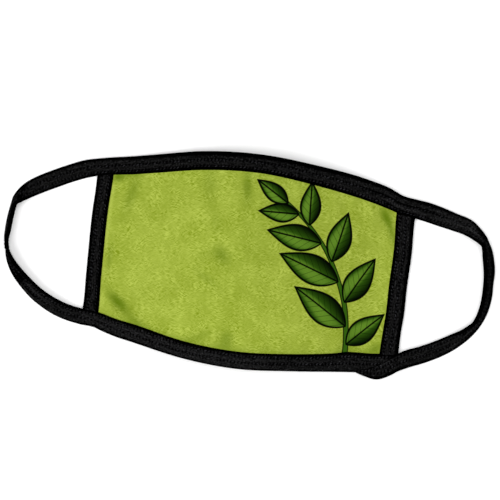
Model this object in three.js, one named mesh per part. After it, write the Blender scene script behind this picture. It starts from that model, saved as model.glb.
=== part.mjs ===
// Cloth face mask, lying on its back with the outer face up.
// A doubled cloth panel is bound on all four edges with folded knit tape. The tape of the top and
// bottom edges runs on past the panel as two ear loops.
// Millimetres. +X runs along the mask, +Y towards the nose edge, +Z out of the outer face.
// The origin is the middle of the footprint, on the surface that the mask lies on.

import * as THREE from 'three';

// Driving dimensions
const BODY_HALF_WIDTH = 96.6;
const SIDE_BINDING_WIDTH = { left: 9.2, right: 10.6 };
const PANEL_THICKNESS = 1.2;
const TAPE_LEAF = 1.0;
const LOOP_THICKNESS = 2.4;
const SEAM_GAP = 0.3;
const ARCH_HALF_WIDTH = 85.5;
const EDGE_RISE = 10;
const CENTRE_RISE = 21;
const FOLD_FADE = 9;
const FOLD_EDGE = 9.5;

// Mesh density
const BODY_STEPS = 40;
const PANEL_ROWS = 24;
const LOOP_STEPS = 66;
const SLOPE_STEP = 0.05;

// Outer fold and finished width of the top and bottom tapes, at places along the mask
const EDGE_ROWS = [
  { x: -96.6, top: 50.7, topWidth: 10.6, bottom: -49.6, bottomWidth: 9.6 },
  { x: -88.0, top: 52.2, topWidth: 10.6, bottom: -50.4, bottomWidth: 9.7 },
  { x: -64.4, top: 56.8, topWidth: 10.7, bottom: -56.3, bottomWidth: 10.6 },
  { x: -32.2, top: 62.8, topWidth: 11.0, bottom: -62.4, bottomWidth: 9.9 },
  { x: 0, top: 64.6, topWidth: 10.8, bottom: -64.6, bottomWidth: 9.9 },
  { x: 32.2, top: 62.3, topWidth: 11.7, bottom: -62.3, bottomWidth: 10.4 },
  { x: 64.4, top: 57.5, topWidth: 12.4, bottom: -59.0, bottomWidth: 11.7 },
  { x: 80.0, top: 53.3, topWidth: 12.0, bottom: -57.5, bottomWidth: 11.6 },
  { x: 88.0, top: 50.1, topWidth: 11.4, bottom: -56.6, bottomWidth: 11.5 },
  { x: 96.6, top: 49.0, topWidth: 11.4, bottom: -55.3, bottomWidth: 11.4 },
];

// The bound sides lean a little: where the outer fold of each lies, near the top and the bottom corner
const SIDE_ROWS = [
  { y: -45, left: -95.4, right: 95.8 },
  { y: 45, left: -96.4, right: 96.2 },
];

// Creases and dents of the panel: middle, direction in degrees, half length, half width and depth
const FOLD_ROWS = [
  { x: -74, y: -33, angle: -44, length: 16, width: 5.5, depth: -1.5 },
  { x: -79, y: -40, angle: -44, length: 12, width: 5.0, depth: 0.5 },
  { x: 78, y: 33, angle: -68, length: 14, width: 5.5, depth: -1.3 },
  { x: -75, y: 28, angle: 80, length: 17, width: 5.5, depth: -0.8 },
  { x: 69, y: -38, angle: 49, length: 18, width: 6.5, depth: -0.9 },
  { x: -5, y: 46, angle: 97, length: 12, width: 5.0, depth: -0.8 },
  { x: -29, y: 44, angle: 93, length: 18, width: 6.5, depth: -0.7 },
  { x: -8, y: -49, angle: 70, length: 13, width: 6.0, depth: -0.7 },
  { x: -24, y: -47, angle: 60, length: 14, width: 6.5, depth: -0.5 },
  { x: -17, y: 2, angle: -30, length: 14, width: 9.0, depth: -0.8 },
];

// Ear loops from the top corner round to the bottom corner: the tape's middle line, how far its inner
// edge is turned up, its width and the height of what it lies on. The first two rows lie level, and so
// do the left loop's last two, so that the tape leaves the bindings square.
const LEFT_LOOP_ROWS = [
  { x: -96.7, y: 45.3, tilt: 0, width: 10.5, bed: 0.7 },
  { x: -98.4, y: 45.3, tilt: 0, width: 10.5, bed: 0.7 },
  { x: -104.0, y: 43.2, tilt: 4, width: 10.5, bed: 0.2 },
  { x: -110.6, y: 40.4, tilt: 9, width: 10.5, bed: 0 },
  { x: -120.6, y: 35.6, tilt: 13, width: 10.5, bed: 0 },
  { x: -130.6, y: 30.3, tilt: 20, width: 10.5, bed: 0 },
  { x: -136.5, y: 26.3, tilt: 37, width: 10.5, bed: 0 },
  { x: -141.2, y: 21.6, tilt: 58, width: 10.5, bed: 0 },
  { x: -143.1, y: 18.5, tilt: 74, width: 10.5, bed: 0 },
  { x: -144.2, y: 16.0, tilt: 83, width: 10.5, bed: 0 },
  { x: -145.0, y: 9.5, tilt: 81, width: 10.5, bed: 0 },
  { x: -145.7, y: 2.0, tilt: 82, width: 10.5, bed: 0 },
  { x: -145.8, y: -3.1, tilt: 86, width: 10.5, bed: 0 },
  { x: -145.2, y: -8.2, tilt: 90, width: 10.5, bed: 0 },
  { x: -143.6, y: -12.6, tilt: 83, width: 10.5, bed: 0 },
  { x: -141.3, y: -17.2, tilt: 73, width: 10.5, bed: 0 },
  { x: -138.3, y: -21.4, tilt: 62, width: 10.5, bed: 0 },
  { x: -132.0, y: -28.1, tilt: 51, width: 10.5, bed: 0 },
  { x: -122.6, y: -35.2, tilt: 42, width: 10.5, bed: 0 },
  { x: -112.0, y: -40.7, tilt: 33, width: 10.5, bed: 0 },
  { x: -103.4, y: -43.5, tilt: 16, width: 10.0, bed: 0.2 },
  { x: -97.4, y: -44.8, tilt: 0, width: 9.8, bed: 0.7 },
  { x: -95.7, y: -44.8, tilt: 0, width: 9.6, bed: 0.7 },
];
const RIGHT_LOOP_ROWS = [
  { x: 96.5, y: 43.3, tilt: 0, width: 11.2, bed: 0.7 },
  { x: 98.2, y: 43.3, tilt: 0, width: 11.2, bed: 0.7 },
  { x: 103.0, y: 42.2, tilt: 0, width: 11.2, bed: 0.2 },
  { x: 109.4, y: 40.8, tilt: 0, width: 11.2, bed: 0 },
  { x: 119.4, y: 38.4, tilt: 12, width: 10.5, bed: 0 },
  { x: 128.4, y: 35.8, tilt: 26, width: 10.5, bed: 0 },
  { x: 133.6, y: 32.6, tilt: 46, width: 10.5, bed: 0 },
  { x: 137.8, y: 29.2, tilt: 61, width: 10.5, bed: 0 },
  { x: 139.6, y: 27.2, tilt: 68, width: 10.5, bed: 0 },
  { x: 140.8, y: 24.6, tilt: 66, width: 10.5, bed: 0 },
  { x: 142.7, y: 18.0, tilt: 58, width: 10.5, bed: 0 },
  { x: 143.9, y: 11.5, tilt: 58, width: 10.5, bed: 0 },
  { x: 144.4, y: 4.0, tilt: 63, width: 10.5, bed: 0 },
  { x: 144.4, y: -3.5, tilt: 64, width: 10.5, bed: 0 },
  { x: 143.3, y: -12.0, tilt: 66, width: 10.5, bed: 0 },
  { x: 141.3, y: -18.4, tilt: 69, width: 10.5, bed: 0 },
  { x: 139.6, y: -21.7, tilt: 70, width: 10.5, bed: 0 },
  { x: 137.4, y: -24.4, tilt: 65, width: 10.5, bed: 0 },
  { x: 133.2, y: -28.6, tilt: 54, width: 10.5, bed: 0 },
  { x: 127.7, y: -32.7, tilt: 38, width: 10.5, bed: 0 },
  { x: 119.4, y: -38.0, tilt: 24, width: 10.5, bed: 0.3 },
  { x: 109.4, y: -43.2, tilt: 14, width: 10.5, bed: 1.9 },
  { x: 100.6, y: -47.2, tilt: 6, width: 10.2, bed: 4.1 },
  { x: 94.5, y: -51.2, tilt: 0, width: 9.0, bed: 4.1 },
  { x: 89.5, y: -54.5, tilt: 0, width: 8.4, bed: 4.1 },
  { x: 83.8, y: -57.1, tilt: 0, width: 8.0, bed: 4.2 },
  { x: 77.6, y: -58.0, tilt: 0, width: 4.9, bed: 4.5 },
  { x: 72.0, y: -58.0, tilt: 0, width: 2.8, bed: 5.0 },
];

// Sizes that follow from the driving dimensions
const SLOT_HALF = PANEL_THICKNESS / 2 + SEAM_GAP;
const BINDING_HALF = SLOT_HALF + TAPE_LEAF;
const PANEL_INSET = TAPE_LEAF + SEAM_GAP;

// Finishes
const LIME_CLOTH = { color: 0x9db03c, roughness: 0.9 };
const BLACK_TAPE = { color: 0x141414, roughness: 0.95 };

// A smooth curve through one column of a table, read at a place given by another column
function curveThrough(rows, placeColumn, valueColumn) {
  const places = rows.map((row, index) => (placeColumn ? row[placeColumn] : index));
  const values = rows.map((row) => row[valueColumn]);
  const curve = new THREE.CubicInterpolant(places, values, 1);
  return (place) => curve.evaluate(place)[0];
}

const topFold = curveThrough(EDGE_ROWS, 'x', 'top');
const topWidth = curveThrough(EDGE_ROWS, 'x', 'topWidth');
const bottomFold = curveThrough(EDGE_ROWS, 'x', 'bottom');
const bottomWidth = curveThrough(EDGE_ROWS, 'x', 'bottomWidth');

// The panel's creases die out towards the sides and under the top and bottom tapes
function foldHeight(x, y) {
  const edgeRoom = Math.min(topFold(x) - y, y - bottomFold(x)) - FOLD_EDGE;
  const sideRoom = ARCH_HALF_WIDTH - Math.abs(x);
  const sideFade = THREE.MathUtils.smoothstep(sideRoom, 0, FOLD_FADE);
  const fade = sideFade * THREE.MathUtils.smoothstep(edgeRoom, 0, FOLD_FADE);
  let height = 0;
  for (const fold of FOLD_ROWS) {
    const turn = THREE.MathUtils.degToRad(fold.angle);
    const along = (x - fold.x) * Math.cos(turn) + (y - fold.y) * Math.sin(turn);
    const aside = (y - fold.y) * Math.cos(turn) - (x - fold.x) * Math.sin(turn);
    height += fold.depth * Math.exp(-((along / fold.length) ** 2) - (aside / fold.width) ** 2);
  }
  return fade * height;
}

// Height of the cloth's middle layer. It lies flat beside the two sides and arches up between them.
function middleHeight(x, y) {
  const reach = Math.min(Math.abs(x) / ARCH_HALF_WIDTH, 1);
  const arch = (1 - reach ** 2) ** 2;
  const top = topFold(x);
  const bottom = bottomFold(x);
  const across = (2 * y - top - bottom) / (top - bottom);
  const crown = EDGE_RISE + (CENTRE_RISE - EDGE_RISE) * (1 - across ** 2);
  return BINDING_HALF + arch * crown + foldHeight(x, y);
}

// The leaning sides shift a point along the mask, by less the nearer it is to the other side
function sideShift(x, y) {
  const [low, high] = SIDE_ROWS;
  const part = (y - low.y) / (high.y - low.y);
  const left = THREE.MathUtils.lerp(low.left, high.left, part) + BODY_HALF_WIDTH;
  const right = THREE.MathUtils.lerp(low.right, high.right, part) - BODY_HALF_WIDTH;
  return THREE.MathUtils.lerp(left, right, (x + BODY_HALF_WIDTH) / (2 * BODY_HALF_WIDTH));
}

// A point at a height above or below the cloth's middle layer, measured square to it
function onCloth(x, y, lift) {
  const riseX = middleHeight(x + SLOPE_STEP, y) - middleHeight(x - SLOPE_STEP, y);
  const riseY = middleHeight(x, y + SLOPE_STEP) - middleHeight(x, y - SLOPE_STEP);
  const outward = new THREE.Vector3(-riseX, -riseY, 2 * SLOPE_STEP).normalize();
  const middle = new THREE.Vector3(x + sideShift(x, y), y, middleHeight(x, y));
  return middle.addScaledVector(outward, lift);
}

function bodyStation(step, halfWidth) {
  const x = (2 * step / BODY_STEPS - 1) * BODY_HALF_WIDTH;
  return THREE.MathUtils.clamp(x, -halfWidth, halfWidth);
}

// A closed body from points and triangles, with its faces turned outwards
function closedBody(points, triangles) {
  let volume = 0;
  for (const [a, b, c] of triangles) {
    volume += points[a].dot(points[b].clone().cross(points[c]));
  }
  const facing = volume < 0 ? triangles.map(([a, b, c]) => [a, c, b]) : triangles;
  const geometry = new THREE.BufferGeometry().setFromPoints(points);
  geometry.setIndex(facing.flat());
  geometry.computeVertexNormals();
  return geometry;
}

// A body swept through rings that all follow one section outline, with a flat face at each end
function sweptBody(rings, section) {
  const count = section.length;
  const triangles = [];
  for (let ring = 0; ring < rings.length - 1; ring += 1) {
    for (let side = 0; side < count; side += 1) {
      const near = ring * count + side;
      const nearNext = ring * count + (side + 1) % count;
      triangles.push([near, nearNext, nearNext + count], [near, nearNext + count, near + count]);
    }
  }
  const lastRing = (rings.length - 1) * count;
  const sectionArea = THREE.ShapeUtils.area(section);
  for (const [a, b, c] of THREE.ShapeUtils.triangulateShape(section, [])) {
    const sameTurn = THREE.ShapeUtils.area([section[a], section[b], section[c]]) * sectionArea > 0;
    const [first, second] = sameTurn ? [b, c] : [c, b];
    triangles.push([a, second, first], [lastRing + a, lastRing + first, lastRing + second]);
  }
  return closedBody(rings.flat(), triangles);
}

// Section of a tape folded over an edge: x is the distance in from the fold, y the height off the cloth
function bindingSection(width) {
  const round = BINDING_HALF * Math.SQRT1_2;
  return [
    new THREE.Vector2(width, SLOT_HALF),
    new THREE.Vector2(width, BINDING_HALF),
    new THREE.Vector2(BINDING_HALF, BINDING_HALF),
    new THREE.Vector2(BINDING_HALF - round, round),
    new THREE.Vector2(0, 0),
    new THREE.Vector2(BINDING_HALF - round, -round),
    new THREE.Vector2(BINDING_HALF, -BINDING_HALF),
    new THREE.Vector2(width, -BINDING_HALF),
    new THREE.Vector2(width, -SLOT_HALF),
    new THREE.Vector2(TAPE_LEAF, -SLOT_HALF),
    new THREE.Vector2(TAPE_LEAF, SLOT_HALF),
  ];
}

// Section of a loop's tape, folded flat and sewn shut, with round edges
function loopSection(width) {
  const halfFlat = (width - LOOP_THICKNESS) / 2;
  const points = [];
  for (const end of [1, -1]) {
    for (let turn = -2; turn <= 2; turn += 1) {
      const angle = turn * Math.PI / 4;
      const x = end * (halfFlat + Math.cos(angle) * LOOP_THICKNESS / 2);
      const y = end * Math.sin(angle) * LOOP_THICKNESS / 2;
      points.push(new THREE.Vector2(x, y));
    }
  }
  return points;
}

function panelGeometry() {
  const points = [];
  const triangles = [];
  const index = (step, row, face) => (step * (PANEL_ROWS + 1) + row) * 2 + face;
  const quad = (a, b, c, d) => triangles.push([a, b, c], [a, c, d]);
  for (let step = 0; step <= BODY_STEPS; step += 1) {
    const x = bodyStation(step, BODY_HALF_WIDTH - PANEL_INSET);
    for (let row = 0; row <= PANEL_ROWS; row += 1) {
      const low = bottomFold(x) + PANEL_INSET;
      const high = topFold(x) - PANEL_INSET;
      const y = THREE.MathUtils.lerp(low, high, row / PANEL_ROWS);
      points.push(onCloth(x, y, PANEL_THICKNESS / 2), onCloth(x, y, -PANEL_THICKNESS / 2));
    }
  }
  for (let step = 0; step < BODY_STEPS; step += 1) {
    for (let row = 0; row < PANEL_ROWS; row += 1) {
      quad(index(step, row, 0), index(step + 1, row, 0), index(step + 1, row + 1, 0), index(step, row + 1, 0));
      quad(index(step, row, 1), index(step, row + 1, 1), index(step + 1, row + 1, 1), index(step + 1, row, 1));
    }
    quad(index(step, 0, 1), index(step + 1, 0, 1), index(step + 1, 0, 0), index(step, 0, 0));
    const last = PANEL_ROWS;
    quad(index(step, last, 0), index(step + 1, last, 0), index(step + 1, last, 1), index(step, last, 1));
  }
  for (let row = 0; row < PANEL_ROWS; row += 1) {
    quad(index(0, row, 0), index(0, row + 1, 0), index(0, row + 1, 1), index(0, row, 1));
    const end = BODY_STEPS;
    quad(index(end, row, 1), index(end, row + 1, 1), index(end, row + 1, 0), index(end, row, 0));
  }
  return closedBody(points, triangles);
}

// The top or bottom tape: inward is -1 where the panel lies below the fold and 1 where it lies above
function edgeBindingGeometry(foldAt, widthAt, inward) {
  const rings = [];
  for (let step = 0; step <= BODY_STEPS; step += 1) {
    const x = bodyStation(step, BODY_HALF_WIDTH);
    const section = bindingSection(widthAt(x));
    rings.push(section.map((point) => onCloth(x, foldAt(x) + inward * point.x, point.y)));
  }
  return sweptBody(rings, bindingSection(widthAt(0)));
}

// A side tape: straight, with its ends cut to the inner edges of the top and bottom tapes
function sideBindingGeometry(width, inward) {
  const section = bindingSection(width);
  const rings = [[], []];
  for (const point of section) {
    const x = inward * (point.x - BODY_HALF_WIDTH);
    const low = bottomFold(x) + bottomWidth(x) + SEAM_GAP;
    const high = topFold(x) - topWidth(x) - SEAM_GAP;
    rings[0].push(onCloth(x, low, point.y));
    rings[1].push(onCloth(x, high, point.y));
  }
  return sweptBody(rings, section);
}

// An ear loop: inside is 1 where the loop's space lies to the left of the way it runs, and -1 to the right
function loopGeometry(rows, inside) {
  const path = new THREE.CatmullRomCurve3(rows.map((row) => new THREE.Vector3(row.x, row.y, 0)));
  const tiltAt = curveThrough(rows, null, 'tilt');
  const widthAt = curveThrough(rows, null, 'width');
  const bedAt = curveThrough(rows, null, 'bed');
  const rings = [];
  for (let step = 0; step <= LOOP_STEPS; step += 1) {
    const along = step / LOOP_STEPS;
    const place = along * (rows.length - 1);
    const tilt = THREE.MathUtils.degToRad(Math.max(tiltAt(place), 0));
    const width = widthAt(place);
    const forward = path.getTangent(along);
    const inward = new THREE.Vector3(-forward.y, forward.x, 0).multiplyScalar(inside);
    const upward = new THREE.Vector3(0, 0, 1);
    const breadth = inward.clone().multiplyScalar(Math.cos(tilt)).addScaledVector(upward, Math.sin(tilt));
    const face = upward.clone().multiplyScalar(Math.cos(tilt)).addScaledVector(inward, -Math.sin(tilt));
    const middle = path.getPoint(along);
    const edgeRise = Math.sin(tilt) * (width - LOOP_THICKNESS) / 2;
    middle.z = Math.max(bedAt(place), 0) + edgeRise + LOOP_THICKNESS / 2;
    rings.push(loopSection(width).map((point) => (
      middle.clone().addScaledVector(breadth, point.x).addScaledVector(face, point.y)
    )));
  }
  return sweptBody(rings, loopSection(rows[0].width));
}

const mask = new THREE.Group();

function addPiece(name, geometry, finish) {
  const material = new THREE.MeshStandardMaterial({ ...finish, metalness: 0 });
  const piece = new THREE.Mesh(geometry, material);
  piece.name = name;
  mask.add(piece);
}

addPiece('face_panel', panelGeometry(), LIME_CLOTH);
addPiece('side_binding_left', sideBindingGeometry(SIDE_BINDING_WIDTH.left, 1), BLACK_TAPE);
addPiece('side_binding_right', sideBindingGeometry(SIDE_BINDING_WIDTH.right, -1), BLACK_TAPE);
addPiece('top_binding', edgeBindingGeometry(topFold, topWidth, -1), BLACK_TAPE);
addPiece('bottom_binding', edgeBindingGeometry(bottomFold, bottomWidth, 1), BLACK_TAPE);
addPiece('ear_loop_left', loopGeometry(LEFT_LOOP_ROWS, 1), BLACK_TAPE);
addPiece('ear_loop_right', loopGeometry(RIGHT_LOOP_ROWS, -1), BLACK_TAPE);

export default mask;
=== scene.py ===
# Cloth face mask, lying on its back on a pale table with the outer face up. A brushed cloth panel is bound
# all round with folded black tape, and the tape of its top and bottom edges runs on as two ear loops.

import math

import bmesh
import bpy
import numpy as np
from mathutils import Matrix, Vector


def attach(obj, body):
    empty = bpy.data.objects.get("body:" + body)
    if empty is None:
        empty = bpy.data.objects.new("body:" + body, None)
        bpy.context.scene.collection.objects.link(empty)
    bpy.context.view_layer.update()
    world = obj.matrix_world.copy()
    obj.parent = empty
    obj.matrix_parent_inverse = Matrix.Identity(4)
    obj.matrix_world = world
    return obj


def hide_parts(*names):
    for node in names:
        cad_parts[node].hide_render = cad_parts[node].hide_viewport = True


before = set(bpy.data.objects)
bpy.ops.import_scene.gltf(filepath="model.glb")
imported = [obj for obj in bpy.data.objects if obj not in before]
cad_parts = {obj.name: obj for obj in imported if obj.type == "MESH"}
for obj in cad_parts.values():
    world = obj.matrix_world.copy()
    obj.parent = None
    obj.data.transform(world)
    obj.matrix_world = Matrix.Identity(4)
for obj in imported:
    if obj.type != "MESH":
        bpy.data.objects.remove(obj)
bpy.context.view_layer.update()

# Cloth panel
# Two layers of brushed polyester sewn as one, cut with rounded top and bottom edges and printed on the
# outer face. Its edge is held all round inside the folded tapes, and it arches up between the two sides.

MM = 0.001
BODY_HALF_WIDTH = 96.6
PANEL_THICKNESS = 1.2
PANEL_INSET = 1.3
TAPE_HALF = 1.9
ARCH_HALF_WIDTH = 85.5
EDGE_RISE = 10.0
CENTRE_RISE = 21.0
FOLD_EDGE = 9.5
FOLD_FADE = 9.0
PANEL_COLUMNS = 220
PANEL_ROWS = 145
SLOPE_STEP = 0.05
NOISE_CELLS = 64
SHARP_ANGLE = math.radians(55)

# Place along the mask, then the outer fold and width of the top tape and of the bottom tape
EDGE_ROWS = np.array([
    (-96.6, 50.7, 10.6, -49.6, 9.6),
    (-88.0, 52.4, 10.6, -50.4, 9.7),
    (-84.0, 53.1, 10.7, -51.8, 10.2),
    (-76.0, 54.5, 11.0, -54.1, 10.5),
    (-64.4, 56.8, 11.3, -56.4, 10.8),
    (-32.2, 62.8, 11.6, -62.4, 10.5),
    (0.0, 64.6, 11.5, -64.6, 10.6),
    (32.2, 62.3, 12.1, -62.3, 10.6),
    (64.4, 57.7, 12.7, -59.0, 11.3),
    (80.0, 53.7, 12.3, -57.5, 11.5),
    (88.0, 50.3, 11.4, -56.6, 11.5),
    (96.6, 49.0, 11.4, -55.3, 11.4),
])

# The bound sides lean and bow out a little: place up the mask, then where the left and the right outer
# fold lie
SIDE_ROWS = np.array([
    (-45.0, -95.5, 96.0),
    (-33.0, -95.4, 95.9),
    (-20.0, -95.9, 96.5),
    (-5.0, -96.3, 96.3),
    (17.0, -96.7, 96.7),
    (34.0, -96.3, 96.1),
    (45.0, -96.4, 96.3),
])

# Creases and dents: middle, direction in degrees, half length, half width, height, which is below 0 in a
# dent, and how much painted shade lies there, or painted light where below 0
FOLD_ROWS = (
    (-74.5, -34, -38, 13, 6.0, -1.6, 0.4),
    (-76, -33.5, -38, 8, 5.2, 0.0, 0.75),
    (-79, -41, -38, 12, 5.0, 0.5, 0.0),
    (-63, -44, -35, 8, 4.0, -0.2, 0.3),
    (82, 33, -60, 13, 5.5, -1.3, 0.3),
    (79, 36.5, -58, 7, 4.5, -0.2, 0.8),
    (84, 25, -75, 7, 3.5, 0.0, 0.5),
    (-74.5, 32, 78, 16, 6.0, -0.8, 0.6),
    (-85, 40.5, 5, 6, 3.8, -0.1, 1.0),
    (-78, 43.5, 5, 8, 2.4, 0.0, 0.4),
    (-83.5, -8, 86, 11, 3.5, -0.1, 0.6),
    (68, -40, 49, 14, 6.0, -0.9, 0.5),
    (82.5, -42, 20, 6, 4.5, -0.2, 0.6),
    (-6, 45, 97, 11, 4.5, -0.8, 0.65),
    (-28.5, 44, 95, 14, 7.5, -0.7, 0.45),
    (-22, 21, 100, 8, 5.0, -0.2, 0.3),
    (-8, -47.5, 70, 6, 6.5, -0.4, 0.65),
    (-23.5, -47, 20, 9, 4.5, -0.5, 0.4),
    (-16.5, 2, -50, 6.5, 6.5, -0.7, 0.6),
    (-28, 1, 20, 8, 6.0, -0.3, 0.25),
    (-25, -12, -33, 10, 4.5, -0.3, 0.4),
    (6, 16, 75, 46, 30, 0.0, 0.3),
    (-58, -6, 60, 36, 24, 0.0, -0.15),
)

# Broad unevenness of the cloth: height, size across and seed
UNEVEN_ROWS = (
    (0.32, 23, 5),
    (0.14, 9, 6),
)

EDGE_PUCKER = 0.34
SIDE_PUCKER = 0.26
EDGE_PUCKER_PITCH = 10.5
SIDE_PUCKER_PITCH = 11.5
PUCKER_WANDER = 4.0
PUCKER_WANDER_SIZE = 21
PUCKER_START = 3.0
PUCKER_REACH = 7.0
PUCKER_END = 4.0
# Painted shade on the cloth: how narrow it is in a crease, and how much lies beside the bottom and left tapes
PAINTED_SHADE_NARROW = 0.75
SHADOW_BY_BOTTOM = 0.4
SHADOW_BOTTOM_REACH = 3.5
HIGHLIGHT_BY_LEFT = -0.3
HIGHLIGHT_LEFT_REACH = 1.8
HIGHLIGHT_LEFT_PLACE = ARCH_HALF_WIDTH + 1


def ease(value, reach=1.0):
    """A smooth step from 0 at 0 to 1 at reach."""
    part = np.clip(value / reach, 0, 1)
    return part * part * (3 - 2 * part)


def curve_through(places, values):
    """A smooth curve through points, as a cutter draws one along a bent ruler."""
    places = np.asarray(places, float)
    values = np.asarray(values, float)
    slopes = np.gradient(values, places)

    def read(place):
        place = np.clip(place, places[0], places[-1])
        cell = np.clip(np.searchsorted(places, place, side="right") - 1, 0, len(places) - 2)
        span = places[cell + 1] - places[cell]
        part = (place - places[cell]) / span
        near = (1 + 2 * part) * (1 - part) ** 2 * values[cell]
        near += part * (1 - part) ** 2 * span * slopes[cell]
        far = part ** 2 * (3 - 2 * part) * values[cell + 1]
        far -= part ** 2 * (1 - part) * span * slopes[cell + 1]
        return near + far

    return read


top_fold = curve_through(EDGE_ROWS[:, 0], EDGE_ROWS[:, 1])
top_width = curve_through(EDGE_ROWS[:, 0], EDGE_ROWS[:, 2])
bottom_fold = curve_through(EDGE_ROWS[:, 0], EDGE_ROWS[:, 3])
bottom_width = curve_through(EDGE_ROWS[:, 0], EDGE_ROWS[:, 4])
left_fold = curve_through(SIDE_ROWS[:, 0], SIDE_ROWS[:, 1])
right_fold = curve_through(SIDE_ROWS[:, 0], SIDE_ROWS[:, 2])


def soft_noise(x, y, size, seed):
    """Smooth random bumps about `size` across, between -1 and 1."""
    grid = np.random.default_rng(seed).uniform(-1, 1, (NOISE_CELLS, NOISE_CELLS))
    column = x / size
    row = y / size
    left = np.floor(column).astype(int)
    below = np.floor(row).astype(int)
    across = ease(column - left)
    up = ease(row - below)

    def corner(right, above):
        return grid[(left + right) % NOISE_CELLS, (below + above) % NOISE_CELLS]

    low = corner(0, 0) * (1 - across) + corner(1, 0) * across
    high = corner(0, 1) * (1 - across) + corner(1, 1) * across
    return low * (1 - up) + high * up


def crease_share(x, y, crease, narrow=1.0):
    """How much of a crease lies at each point, from 0 to 1."""
    middle_x, middle_y, direction, half_length, half_width = crease
    turn = math.radians(direction)
    along = (x - middle_x) * math.cos(turn) + (y - middle_y) * math.sin(turn)
    aside = (y - middle_y) * math.cos(turn) - (x - middle_x) * math.sin(turn)
    return np.exp(-(along / half_length) ** 2 - (aside / (narrow * half_width)) ** 2)


def fold_height(x, y):
    """Creases and broad unevenness of the cloth, which die out at the sides and under the tapes."""
    edge_room = np.minimum(top_fold(x) - y, y - bottom_fold(x)) - FOLD_EDGE
    fade = ease(ARCH_HALF_WIDTH - np.abs(x), FOLD_FADE) * ease(edge_room, FOLD_FADE)
    height = sum(rise * soft_noise(x, y, size, seed) for rise, size, seed in UNEVEN_ROWS)
    for *crease, rise, _ in FOLD_ROWS:
        height = height + rise * crease_share(x, y, crease)
    return fade * height


def pucker_fade(room):
    """How strong the ripples beside a seam are, at a distance from the tape's inner edge."""
    return ease(room, PUCKER_START) * np.exp(-np.abs(room) / PUCKER_REACH)


def pucker_height(x, y):
    """Small ripples where the stitching gathers the cloth, which die out away from the tapes."""
    edge_room = np.minimum(top_fold(x) - top_width(x) - y, y - bottom_fold(x) - bottom_width(x))
    side_room = ARCH_HALF_WIDTH - np.abs(x)
    edge_wander = PUCKER_WANDER * soft_noise(x, 0 * x, PUCKER_WANDER_SIZE, 7)
    side_wander = PUCKER_WANDER * soft_noise(0 * y, y, PUCKER_WANDER_SIZE, 8)
    edge_wave = np.sin(2 * np.pi * (x + edge_wander) / EDGE_PUCKER_PITCH)
    side_wave = np.sin(2 * np.pi * (y + side_wander) / SIDE_PUCKER_PITCH)
    edge_ripple = edge_wave * pucker_fade(edge_room) * ease(side_room, PUCKER_END)
    side_ripple = side_wave * pucker_fade(side_room) * ease(edge_room, PUCKER_END)
    return EDGE_PUCKER * edge_ripple + SIDE_PUCKER * side_ripple


def cloth_height(x, y):
    """Height of the cloth's middle layer, flat beside the sides and arched between them."""
    arch = (1 - np.minimum(np.abs(x) / ARCH_HALF_WIDTH, 1) ** 2) ** 2
    top = top_fold(x)
    bottom = bottom_fold(x)
    across = (2 * y - top - bottom) / (top - bottom)
    crown = EDGE_RISE + (CENTRE_RISE - EDGE_RISE) * (1 - across ** 2)
    return TAPE_HALF + arch * crown + fold_height(x, y) + pucker_height(x, y)


def side_shift(x, y):
    """How far the leaning sides shift a point along the mask."""
    across = (x + BODY_HALF_WIDTH) / (2 * BODY_HALF_WIDTH)
    return (left_fold(y) + BODY_HALF_WIDTH) * (1 - across) + (right_fold(y) - BODY_HALF_WIDTH) * across


def on_cloth(x, y, lift):
    """Points at a height above or below the cloth's middle layer, measured square to it."""
    x, y, lift = np.broadcast_arrays(x, y, lift)
    rise_x = cloth_height(x + SLOPE_STEP, y) - cloth_height(x - SLOPE_STEP, y)
    rise_y = cloth_height(x, y + SLOPE_STEP) - cloth_height(x, y - SLOPE_STEP)
    outward = np.stack([-rise_x, -rise_y, np.full(x.shape, 2 * SLOPE_STEP)], axis=-1)
    outward /= np.linalg.norm(outward, axis=-1, keepdims=True)
    middle = np.stack([x + side_shift(x, y), y, cloth_height(x, y)], axis=-1)
    return middle + lift[..., None] * outward


def painted_shading(x, y):
    """Painted shade on the cloth: dark in creases, patches and by the bottom tape, light below 0 by the left
    tape.
    """
    dark = 0.0 * x
    for *crease, _, painted_shade in FOLD_ROWS:
        dark = dark + painted_shade * crease_share(x, y, crease, PAINTED_SHADE_NARROW)
    bottom_room = y - bottom_fold(x) - bottom_width(x)
    left_room = x + HIGHLIGHT_LEFT_PLACE
    # Painted shadow on the cloth beside the bottom tape
    shadow_by_bottom = SHADOW_BY_BOTTOM * np.exp(-(bottom_room / SHADOW_BOTTOM_REACH) ** 2)
    # Painted highlight on the cloth beside the left tape
    highlight_by_left = HIGHLIGHT_BY_LEFT * np.exp(-(left_room / HIGHLIGHT_LEFT_REACH) ** 2)
    return dark + shadow_by_bottom + highlight_by_left


def new_piece(name, points, faces, materials):
    """A smooth-shaded object at the origin, from points in millimetres, with its faces turned outwards."""
    mesh = bpy.data.meshes.new(name)
    mesh.from_pydata((points.reshape(-1, 3) * MM).tolist(), [], faces)
    for material in materials:
        mesh.materials.append(material)
    work = bmesh.new()
    work.from_mesh(mesh)
    bmesh.ops.recalc_face_normals(work, faces=work.faces)
    work.to_mesh(mesh)
    work.free()
    mesh.shade_smooth()
    mesh.set_sharp_from_angle(angle=SHARP_ANGLE)
    piece = bpy.data.objects.new(name, mesh)
    bpy.context.scene.collection.objects.link(piece)
    return piece


def note_points(piece, name, values):
    """Store a number or a vector for each point of a piece, for its material to read."""
    values = np.asarray(values, float)
    kind, field = ("FLOAT", "value") if values.ndim == 1 else ("FLOAT_VECTOR", "vector")
    note = piece.data.attributes.new(name, kind, "POINT")
    note.data.foreach_set(field, values.ravel())


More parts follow.
